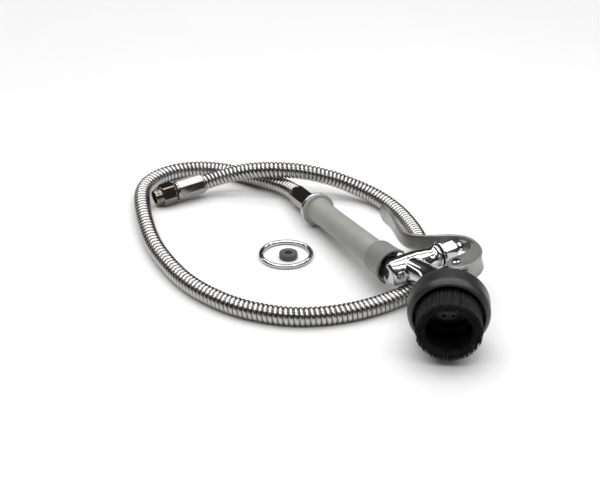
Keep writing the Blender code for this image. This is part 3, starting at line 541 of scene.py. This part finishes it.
# ---- hose ------------------------------------------------------------------------------
def spline(points, per_span=16):
    """Points along a uniform cubic B-spline that starts and ends on the list's ends."""
    rows = [np.array(point, float) for point in points]
    rows = [2 * rows[0] - rows[1]] + rows + [2 * rows[-1] - rows[-2]]
    curve = []
    for p0, p1, p2, p3 in zip(rows, rows[1:], rows[2:], rows[3:]):
        for step in range(per_span):
            t = step / per_span
            curve.append(((1 - t) ** 3 * p0 + (3 * t ** 3 - 6 * t ** 2 + 4) * p1
                          + (-3 * t ** 3 + 3 * t ** 2 + 3 * t + 1) * p2 + t ** 3 * p3) / 6.0)
    curve.append(rows[-2])
    return np.array(curve)


def evenly(curve, spacing):
    """The curve as points about spacing apart, and their distances along it."""
    reach = np.concatenate(([0.0], np.cumsum(np.linalg.norm(np.diff(curve, axis=0), axis=1))))
    stations = np.linspace(0.0, reach[-1], int(round(reach[-1] / spacing)) + 1)
    return np.stack([np.interp(stations, reach, curve[:, axis]) for axis in range(3)], 1), stations


def hose_centres():
    """Points along the hose's centre line and their distances along it."""
    along = GRIP.to_3x3() @ Vector((0.0, 0.0, 1.0))
    mouth = placed(GRIP, 0.0, 0.0, FERRULE_BACK) / MM
    supply_along = SUPPLY.to_3x3() @ Vector((0.0, 0.0, 1.0))
    supply_mouth = Vector(SUPPLY_MOUTH)
    route = [mouth + along * HOSE_IN_FERRULE, mouth, mouth - along * HOSE_STUB]
    route += [Vector((x + MOUTH[0], y + MOUTH[1], z)) for x, y, z in HOSE_ROUTE]
    route += [supply_mouth - supply_along * HOSE_STUB, supply_mouth,
              supply_mouth + supply_along * HOSE_IN_FERRULE]
    return evenly(spline(route), HOSE_STEP)


def make_hose(end_pieces):
    """Hose wound from one steel strip, with a groove between its turns."""
    centres, stations = hose_centres()
    tangents = np.gradient(centres, axis=0)
    tangents /= np.linalg.norm(tangents, axis=1)[:, None]

    side = np.cross(tangents[0], (0.0, 0.0, 1.0))
    angles = np.arange(HOSE_SIDES) * 2.0 * math.pi / HOSE_SIDES
    extra, middle, spread = HOSE_OPENED
    pitches = HOSE_PITCH + extra * np.exp(-((stations - middle) / spread) ** 2)
    turns = np.cumsum(HOSE_STEP / pitches)
    rings, crests = [], []
    for centre, tangent, turns_here in zip(centres, tangents, turns):
        side = side - tangent * side.dot(tangent)
        side /= np.linalg.norm(side)
        up = np.cross(tangent, side)
        phase = (turns_here - angles / (2.0 * math.pi)) % 1.0
        crest = np.abs(np.sin(math.pi * phase)) ** 0.8
        radius = HOSE_DIAMETER / 2.0 - HOSE_GROOVE * (1.0 - crest)
        out = np.cos(angles)[:, None] * side + np.sin(angles)[:, None] * up
        rings.append((centre + radius[:, None] * out) * MM)
        crests.append(crest)
    hose = add_mesh("wound_hose", *grid(rings), "strip")
    face_outwards(hose)
    # crest also sets the painted shade in the groove, through the strip's base colour
    layer = hose.data.attributes.new("crest", "FLOAT", "POINT")
    layer.data.foreach_set("value", np.concatenate(crests).astype(np.float32))
    hose.data.shade_smooth()
    declare(hose, BODY, "steel_hose", "hose")


# ---- hose ends -------------------------------------------------------------------------
def ferrule(name, back, length, flats, bore, matrix, *declared):
    """Eight-sided ferrule: crimped skirt round the hose, flats, turned neck in front."""
    apothem = flats / 2.0
    corner = apothem / math.cos(math.pi / 8.0) - 0.12
    front = back + length
    bottom = back + HOSE_IN_FERRULE + 1.0
    obj = turned(name, (
        (back, HOSE_HOLE), (back, apothem - 0.9), (back + 1.0, apothem - 0.1),
        (back + 2.2, apothem - 0.1), (back + 3.0, corner, apothem),
        (front - 3.4, corner, apothem), (front - 2.6, apothem - 0.1),
        (front - 1.0, apothem - 0.3), (front, apothem - 1.2), (front, bore), (bottom, bore),
        (bottom, HOSE_HOLE)), matrix, "ferrule", 144, 8, reach=0.35)
    return declare(obj, *declared)


def make_supply_end():
    """The ferrule and the adapter, which has a real screw thread."""
    length = SUPPLY_FERRULE_LENGTH
    skirt = ferrule("supply_end_ferrule", 0.0, length, SUPPLY_FERRULE_FLATS, SPIGOT_HOLE,
                    SUPPLY @ turn(SUPPLY_FERRULE_TURN, "Z"),
                    BODY, "chrome_ferrule", "supply_ferrule")
    hexagon = length + 1.8
    apothem = ADAPTER_APOTHEM
    corner = apothem / math.cos(math.pi / 6.0)
    thread_start, thread_end = hexagon + 17.0, hexagon + 23.1
    body = turned("supply_end_adapter", (
        (length - 10.0, ADAPTER_BORE), (length - 10.0, SPIGOT_RADIUS), (hexagon, SPIGOT_RADIUS),
        (hexagon, apothem - 0.4), (hexagon + 1.6, corner - 0.25, apothem),
        (hexagon + 14.2, corner - 0.25, apothem), (hexagon + 15.8, apothem - 0.4),
        (hexagon + 15.8, 8.5), (thread_start, 8.5), (thread_end, 8.5), (hexagon + 23.4, 8.2),
        (hexagon + 23.4, 6.5), (hexagon + 8.0, 6.4), (hexagon + 6.0, ADAPTER_BORE)),
        SUPPLY, "dark_chrome", 144, 6, reach=0.3)
    join(body, make_thread(thread_start, thread_end))
    shade(body, 30.0)
    declare(body, "supply_nut", "chrome_nut", "supply_adapter")
    return skirt, body


def make_thread(start, end, sides=60):
    """One ridge wound round the adapter's end, as a closed swept V."""
    turns = (end - start - THREAD_PITCH) / THREAD_PITCH
    count = int(turns * sides)
    foot = THREAD_ROOT - 0.2
    rings = []
    for index in range(count + 1):
        angle = 2.0 * math.pi * index / sides
        centre = start + THREAD_PITCH / 2.0 + THREAD_PITCH * index / sides
        fade = min(1.0, 6.0 * index / count, 6.0 * (count - index) / count)
        top = THREAD_ROOT + (THREAD_CREST - THREAD_ROOT) * fade
        rings.append([placed(SUPPLY, out * math.cos(angle), out * math.sin(angle),
                             centre + along * THREAD_PITCH)
                      for along, out in ((-0.42, foot), (-0.09, top), (0.09, top), (0.42, foot))])
    obj = add_mesh("thread_ridge", *grid(rings), "dark_chrome")
    face_outwards(obj)
    return obj


# ---- handle ----------------------------------------------------------------------------
def make_handle():
    ferrule("handle_end_ferrule", FERRULE_BACK, HANDLE_FERRULE_LENGTH, HANDLE_FERRULE_FLATS,
            TUBE_HOLE, GRIP, BODY, "chrome_ferrule", "handle_ferrule")
    step = GRIP_BACK - 0.3
    cap = turned("handle_end_cap", (
        (CAP_BACK, TUBE_HOLE), (CAP_BACK, 14.4), (CAP_BACK + 0.6, 16.2),
        (CAP_BACK + 1.4, CAP_RADIUS), (CAP_FRONT - 1.4, CAP_RADIUS), (CAP_FRONT - 0.4, 16.2),
        (CAP_FRONT, 15.0), (CAP_FRONT, 11.0), (step, 10.6), (step, TUBE_HOLE)),
        GRIP, "chrome", reach=0.4)
    declare(cap, BODY, "chrome_nut", "grip_end_cap")
    rim = GRIP_BACK + FLANGE_THICKNESS
    sleeve = turned("handle_grip", (
        (GRIP_BACK, GRIP_BORE), (GRIP_BACK, 17.2), (GRIP_BACK + 0.8, FLANGE_RADIUS),
        (rim - 0.7, FLANGE_RADIUS), (rim, 17.3), (rim + 0.3, 15.3), (rim + 1.1, 14.2),
        (rim + 2.6, 13.5), (rim + 5.5, 13.05), (-120.0, GRIP_RADIUS), (-60.0, GRIP_RADIUS),
        (GRIP_FRONT, GRIP_RADIUS), (GRIP_FRONT, GRIP_BORE)), GRIP, "grip", 112, reach=0.4)
    declare(sleeve, BODY, "grey_grip", "grip_sleeve")
    make_bell()
    nut = turned("handle_inlet_nut", (
        (NUT_BACK, TUBE_HOLE), (NUT_BACK, 9.6), (NUT_BACK + 1.4, 11.35, NUT_APOTHEM),
        (NUT_FRONT - 1.4, 11.35, NUT_APOTHEM), (NUT_FRONT, 9.6), (NUT_FRONT, TUBE_HOLE)),
        GRIP, "chrome", 144, 6, reach=0.3)
    declare(nut, BODY, "chrome_nut", "inlet_nut")


def make_bell():
    """Flared guard at the grip's front, scooped away between its two horns."""
    step = GRIP_FRONT + 0.3
    bell = turned("handle_bell", (
        (BELL_BACK, 13.3), (BELL_BACK, 14.8), (-29.2, BELL_RADIUS), (-18.0, 16.6), (-8.0, 17.3),
        (-1.2, 18.4), (BELL_FRONT, 18.1), (BELL_FRONT, 18.6 - BELL_WALL), (-8.0, 17.3 - BELL_WALL),
        (step, BELL_RADIUS - BELL_WALL), (step, 13.3)), GRIP, "bell", 112, reach=0.6)
    across = [2.0 * math.pi * index / 72 for index in range(72)]
    outline = [(2.0 + 28.0 * math.cos(a), 28.0 + 26.0 * math.sin(a)) for a in across]
    scoop = prism("scoop", outline, -30.0, 30.0, TOOL @ turn(-45.0, "X"), "bell")
    cut(bell, scoop)
    fuse(bell, voxel=0.45, rounds=5)
    shade(bell, 60.0)
    declare(bell, BODY, "grey_bell", "grip_bell")


# ---- valve body ------------------------------------------------------------------------
def rod(name, profile, matrix, look="chrome", sides=96, reach=0.1):
    """A turned piece that is solid to its axis; profile starts and ends at a radius."""
    ends = (profile[0][0], HAIRLINE), (profile[-1][0], HAIRLINE)
    return turned(name, (ends[0], *profile, ends[1]), matrix, look, sides, closed=False,
                  reach=reach)


def valve_skin():
    """The casting's outside: barrel, neck, collar, horn and lug under one skin."""
    barrel = rod("spray_valve_body", (
        (-11.2, 8.4), (-10.4, 10.2), (-8.6, 12.0), (-5.4, 13.0), (0.0, 13.4), (12.0, 13.3),
        (22.0, 12.8), (32.0, 11.2), (37.4, 9.9), (40.2, 9.9), (41.2, 11.7),
        (BARREL_END, 11.7)), BARREL, reach=0.6)
    neck = rod("neck", ((-15.6, 8.0), (8.0, 8.0)), GRIP, reach=0.2)
    collar = rod("collar", ((-7.4, 9.4), (-6.2, 10.3), (3.0, 10.8)), GRIP, reach=0.4)
    front = TOOL.inverted() @ placed(HEAD, 0.0, 0.0, RIM_FRONT) / MM
    horn = lofted("horn", (
        (9.0, 10.0, 8.0, 11.8), (27.0, 13.5, 8.0, 12.2), (44.0, 15.5, 2.0, 13.0),
        (58.0, 15.7, -10.0, 15.6), (69.0, 13.8, -22.0, 20.4), (77.0, 11.2, -30.0, 26.4),
        (81.5, 9.2, -33.0, RIM_RADIUS), (front.x, front.y, HEAD_ANGLE, RIM_RADIUS)),
        TOOL, "chrome")
    lug_outline = [(PIN[0] - LUG_RADIUS, LUG_ROOT), (PIN[0] + LUG_RADIUS + 0.5, LUG_ROOT)]
    lug_outline += [(PIN[0] + LUG_RADIUS * math.cos(a), PIN[1] + LUG_RADIUS * math.sin(a))
                    for a in np.linspace(0.0, math.pi, 25)]
    lug = prism("lug", lug_outline, -LUG_HALF_HEIGHT, LUG_HALF_HEIGHT, TOOL, "chrome")
    join(barrel, neck, collar, horn, lug)
    return fuse(barrel, voxel=0.6, rounds=9)


def make_valve_body():
    body = valve_skin()
    outlet = lofted("outlet", (
        (12.0, 18.0, 2.0, 6.0), (30.0, 15.5, -3.0, 6.5), (50.0, 15.0, -10.0, 8.0),
        (66.0, 13.6, -22.0, 12.0), (HEAD_CENTRE[0] + 0.84, HEAD_CENTRE[1] - 0.54, HEAD_ANGLE, 22.0)),
        TOOL, "chrome", 48)
    cut(body,
        rod("chamber", ((-8.6, 7.2), (8.7, 7.2), (8.7, CHAMBER_BORE), (46.0, CHAMBER_BORE)),
            BARREL, sides=64),
        rod("inlet", ((-18.0, 4.8), (4.0, 4.8)), GRIP, sides=64),
        outlet,
        rod("dish", ((0.6, DISH_RADIUS), (11.0, DISH_RADIUS)), HEAD, sides=64),
        rod("pin_hole", ((-9.0, PIN_HOLE), (9.0, PIN_HOLE)), PIN_FRAME, sides=64))
    shade(body, 40.0)
    declare(body, BODY, "chrome_body", "valve_body")


def make_bonnet():
    apothem = BONNET_APOTHEM
    corner = apothem / math.cos(math.pi / 6.0) - 0.15
    flange = BONNET_FLANGE_RADIUS
    bonnet = turned("barrel_bonnet", (
        (34.0, BONNET_BORE), (34.0, 7.6), (34.8, 8.1), (45.5, 8.1), (45.5, flange - 0.6),
        (46.1, flange), (47.8, flange), (48.4, flange - 0.7), (48.5, 9.6),
        (48.9, corner, apothem), (61.4, corner, apothem), (62.5, 7.9), (62.5, 6.6), (63.9, 6.6),
        (64.2, 6.2), (64.2, 5.1), (60.2, 5.1), (60.2, BONNET_BORE), (58.0, BONNET_BORE),
        (58.0, 4.4), (54.0, 4.4), (54.0, BONNET_BORE)), BARREL, "chrome", 144, 6, reach=0.3)
    declare(bonnet, BODY, "chrome_nut", "bonnet")
    button = turned("push_button", (
        (66.3, HAIRLINE), (66.3, 4.2), (67.0, BUTTON_RADIUS), (69.4, BUTTON_RADIUS), (70.4, 4.0),
        (70.9, 2.4), (71.0, HAIRLINE)), BARREL, "chrome", 64, closed=False, reach=0.4)
    declare(button, "stem", "chrome_nut", "stem_button")


def make_closing_spring():
    """Coil behind the stem's holder."""
    steps, sides = 32, 12
    count = int(SPRING_TURNS * steps)
    run = SPRING_FRONT - SPRING_BACK - 2.0 * SPRING_WIRE
    rings = []
    for index in range(count + 1):
        angle = 2.0 * math.pi * index / steps
        centre = SPRING_BACK + SPRING_WIRE + run * index / count
        ring = []
        for way in np.linspace(0.0, 2.0 * math.pi, sides, endpoint=False):
            out = SPRING_RADIUS + SPRING_WIRE * math.cos(way)
            ring.append(placed(BARREL, out * math.cos(angle), out * math.sin(angle),
                               centre + SPRING_WIRE * math.sin(way)))
        rings.append(ring)
    spring = add_mesh("closing_coil", *grid(rings), "spring")
    face_outwards(spring)
    shade(spring, 50.0)
    declare(spring, BODY, "spring_steel", "closing_spring")
    placed(BARREL, 0.0, 0.0, SPRING_BACK)
    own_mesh(spring)


# ---- brush and bumper ------------------------------------------------------------------
def make_bumper():
    bumper = turned("rubber_bumper", (
        (0.0, BUMPER_BORE), (0.0, 33.2), (0.9, 35.0), (2.6, 36.2), (4.4, BUMPER_RADIUS),
        (18.6, BUMPER_RADIUS), (20.6, 36.2), (22.6, 35.4), (24.2, 34.2), (25.3, 32.9),
        (25.5, 32.0), (25.1, 31.3), (23.6, 30.9), (18.0, BUMPER_BORE)), HEAD, "rubber", 160,
        reach=1.2)
    declare(bumper, BODY, "black_bumper", "bumper")


def make_carrier():
    front = CARRIER_FRONT
    carrier = turned("bristle_carrier", (
        (9.3, 22.0), (9.3, 29.5), (front - 0.6, 29.5), (front, 28.9), (front, CARRIER_BORE + 0.6),
        (front - 0.6, CARRIER_BORE), (10.6, CARRIER_BORE)), HEAD, "seal", 128, reach=0.5)
    declare(carrier, BODY, "black_carrier", "brush_carrier")


def bristle(draw, radius, angle, sides=4, stops=5):
    """Sections of one bristle of the tuft at this radius and angle, from root to tip."""
    spot, way = draw.uniform(0.0, 1.0) ** 0.5, draw.uniform(0.0, 2.0 * math.pi)
    out, round_ = math.cos(way) * spot, math.sin(way) * spot
    root = (radius + TUFT_RADIUS * out, TUFT_RADIUS * round_)
    lean = (draw.gauss(0.2, 0.7) + 0.95 * out, draw.gauss(0.0, 0.9) + 1.7 * round_)
    reach_out = min(max(root[0] + lean[0], BRUSH_INNER), BRUSH_OUTER)
    length = BRISTLE_TIPS - CARRIER_FRONT - min(abs(draw.gauss(0.0, 1.5)), 4.5)
    length -= draw.uniform(0.0, 0.8)
    bend = draw.uniform(-0.35, 0.35)
    rings = []
    for stop in range(stops):
        t = stop / (stops - 1)
        r = root[0] + (reach_out - root[0]) * t + bend * math.sin(math.pi * t)
        sideways = root[1] + lean[1] * t ** 1.4
        centre = Vector((r * math.cos(angle) - sideways * math.sin(angle),
                         r * math.sin(angle) + sideways * math.cos(angle),
                         CARRIER_FRONT + length * t))
        width = BRISTLE_HALF_WIDTH * (1.0 - 0.35 * t)
        ring = []
        for side in range(sides):
            around = way + 2.0 * math.pi * side / sides
            offset = Vector((width * math.cos(around), width * math.sin(around), 0.0))
            ring.append(placed(HEAD, *(centre + offset)))
        rings.append(ring)
    return rings


def make_bristles():
    """Tufts in three circles, their bristles fanning out to ragged, slightly bent tips."""
    draw = random.Random(7)
    parts = []
    for circle, (radius, tufts) in enumerate(TUFT_CIRCLES):
        for tuft in range(tufts):
            angle = 2.0 * math.pi * (tuft + 0.5 * (circle % 2)) / tufts
            parts += [grid(bristle(draw, radius, angle)) for _ in range(BRISTLES_PER_TUFT)]
    bristles = add_mesh("brush_bristles", *gather(parts), "bristle")
    bristles.data.shade_smooth()
    declare(bristles, BODY, "black_bristle", "bristle_ring")


# ---- lever -----------------------------------------------------------------------------
def lever_height(x):
    """Half height of the strap at a place along the grip, tool frame."""
    part = min(max((PIN[0] - x - 60.0) / (PIN[0] - LEVER_OUTLINE[0][0] - 60.0), 0.0), 1.0)
    return LEVER_HALF_HEIGHT * (1.0 + TIP_EXTRA_HEIGHT * part * part * (3.0 - 2.0 * part))


def inset(path, distance):
    """The path moved to the right of its direction."""
    moved = []
    for index, point in enumerate(path):
        along = path[min(index + 1, len(path) - 1)] - path[max(index - 1, 0)]
        along = along / np.linalg.norm(along)
        moved.append(point + distance * np.array((along[1], -along[0])))
    return moved


def lever_strap():
    """The strap: a dished outer side with proud edges, a rounded tip."""
    path = through(LEVER_OUTLINE, 8)
    rings = []
    for index, (point, edge) in enumerate(zip(path, inset(path, 1.0))):
        inward = edge - point
        tip = math.sqrt(max(0.0, 1.0 - (1.0 - min(index / 9.0, 1.0)) ** 2))
        tall = lever_height(point[0]) * (0.45 + 0.55 * tip)
        dished = [(LEVER_DISH * (1.0 - height * height) ** 0.7, height * tall)
                  for height in np.linspace(-1.0, 1.0, 15)]
        inner = [(LEVER_WALL - 0.7 * abs(height) ** 3, height * tall)
                 for height in np.linspace(1.0, -1.0, 15)]
        rings.append([placed(TOOL, *(point + inward * depth), height)
                      for depth, height in soften(dished + inner, 0.5, True, 2)])
    strap = add_mesh("squeeze_lever", *grid(rings), "satin")
    face_outwards(strap)
    return strap


def make_lever():
    """The strap with its two cheeks and push pad under one skin, and the pin's hole."""
    lever = lever_strap()
    start = next(index for index, point in enumerate(LEVER_OUTLINE) if point[0] > 20.0)
    hood = inset(through(LEVER_OUTLINE[start:], 6), LEVER_DISH)
    outline = [tuple(point) for point in hood + through(CHEEK_EDGE, 6)]
    outer = LEVER_HALF_HEIGHT - 0.1
    cheeks = [bevel(prism("cheek", outline, low, high, TOOL, "satin"), 0.5)
              for low, high in ((CHEEK_INNER, outer), (-outer, -CHEEK_INNER))]
    pad = prism("pad", PAD_OUTLINE, -BUTTON_RADIUS, BUTTON_RADIUS, TOOL, "satin")
    join(lever, *cheeks, pad)
    fuse(lever, voxel=0.42, rounds=12)
    cut(lever, rod("hole", ((-12.0, PIN_HOLE), (12.0, PIN_HOLE)), PIN_FRAME, "satin", 48))
    shade(lever, 50.0)
    declare(lever, "lever", "satin_lever", "lever")


# ---- loose pieces ----------------------------------------------------------------------
def make_loose_pieces():
    profile = [(RING_WIRE + RING_WIRE * math.sin(a), RING_RADIUS + RING_WIRE * math.cos(a))
               for a in np.linspace(0.0, 2.0 * math.pi, 28, endpoint=False)]
    ring = turned("wire_ring", profile, shift(RING_CENTRE), "wire", 180, reach=0.05)
    ring.data.shade_smooth()
    declare(ring, "ring", "chrome_ring", "hold_down_ring")
    hole, radius, top = WASHER_HOLE, WASHER_RADIUS, WASHER_THICKNESS
    washer = turned("rubber_washer", (
        (0.0, hole), (0.0, radius - 0.3), (0.4, radius), (top - 0.5, radius), (top, radius - 0.5),
        (top, 7.0), (top - 0.4, 6.7), (top - 0.4, 5.6), (top, 5.3), (top, hole + 0.3),
        (top - 0.3, hole)), shift(WASHER_CENTRE), "washer", 96, reach=0.4)
    declare(washer, "washer", "grey_washer", "hose_washer")


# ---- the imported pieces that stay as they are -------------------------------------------
def dress_packed_nodes():
    looks = {
        "chrome": ("handle_tube", "face_screw", "lever_pin"),
        "face": ("spray_face",),
        "brass": ("stem", "valve_seat"),
        "spring": ("lever_pin_clip",),
        "seal": ("adapter_washer", "bonnet_gasket", "face_gasket", "inlet_washer",
                 "seat_washer", "stem_o_ring"),
        "nylon": ("grip_bush_front", "grip_bush_rear"),
    }
    for look, names in looks.items():
        for name in names:
            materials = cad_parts[name].data.materials
            materials.clear()
            materials.append(LOOKS[look])


# ---- surroundings ----------------------------------------------------------------------
def add_floor():
    half = FLOOR_HALF_WIDTH
    mesh = bpy.data.meshes.new("floor")
    mesh.from_pydata([(-half, -half, 0.0), (half, -half, 0.0), (half, half, 0.0),
                      (-half, half, 0.0)], [], [(0, 1, 2, 3)])
    look = Finish("floor").set(Specular_IOR_Level=0.5)
    look.colour((0.90, 0.90, 0.90), (0.93, 0.93, 0.93), look.noise(scale=2.0))
    look.roughness(0.16, 0.22, look.noise(scale=8.0))
    mesh.materials.append(look.made)
    floor = bpy.data.objects.new("floor", mesh)
    bpy.context.scene.collection.objects.link(floor)


def add_light():
    """Overhead softbox in three separate panels, in a dark studio with two weak strips."""
    origin, down = (0.0, 0.0, 0.0), Vector((0.0, 0.0, -1.0))
    for offset in PANEL_OFFSETS:
        place = Vector(PANEL_CENTRE) + turn(CAMERA_HEADING, "Z") @ Vector((0.0, offset, 0.0))
        add_softbox("overhead", place, place + down, PANEL_SIZE, PANEL_POWER, CAMERA_HEADING)
    add_softbox("left_strip", (-1.7, -1.3, 0.9), origin, STRIP_SIZE, power=2.0)
    add_softbox("right_strip", (1.1, 1.6, 0.8), origin, STRIP_SIZE, power=2.5)
    world = bpy.data.worlds.new("studio")
    world.use_nodes = True
    tree = world.node_tree
    direction = tree.nodes.new("ShaderNodeTexCoord").outputs["Generated"]
    split = tree.nodes.new("ShaderNodeSeparateXYZ")
    tree.links.new(direction, split.inputs["Vector"])
    ramp = tree.nodes.new("ShaderNodeValToRGB")
    elements = ramp.color_ramp.elements
    for index, (position, tone) in enumerate(STUDIO_TONES):
        stop = elements[index] if index < 2 else elements.new(position)
        stop.position = position
        stop.color = (tone, tone, tone, 1.0)
    tree.links.new(split.outputs["Z"], ramp.inputs["Fac"])
    tree.links.new(ramp.outputs["Color"], tree.nodes["Background"].inputs["Color"])
    tree.nodes["Background"].inputs["Strength"].default_value = STUDIO_STRENGTH
    bpy.context.scene.world = world
    bpy.context.scene.view_settings.view_transform = "Standard"


add_camera()
make_hose([*make_supply_end(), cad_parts["adapter_washer"]])
make_handle()
make_valve_body()
make_bonnet()
make_closing_spring()
make_bumper()
make_carrier()
make_bristles()
make_lever()
make_loose_pieces()
dress_packed_nodes()
add_floor()
add_light()
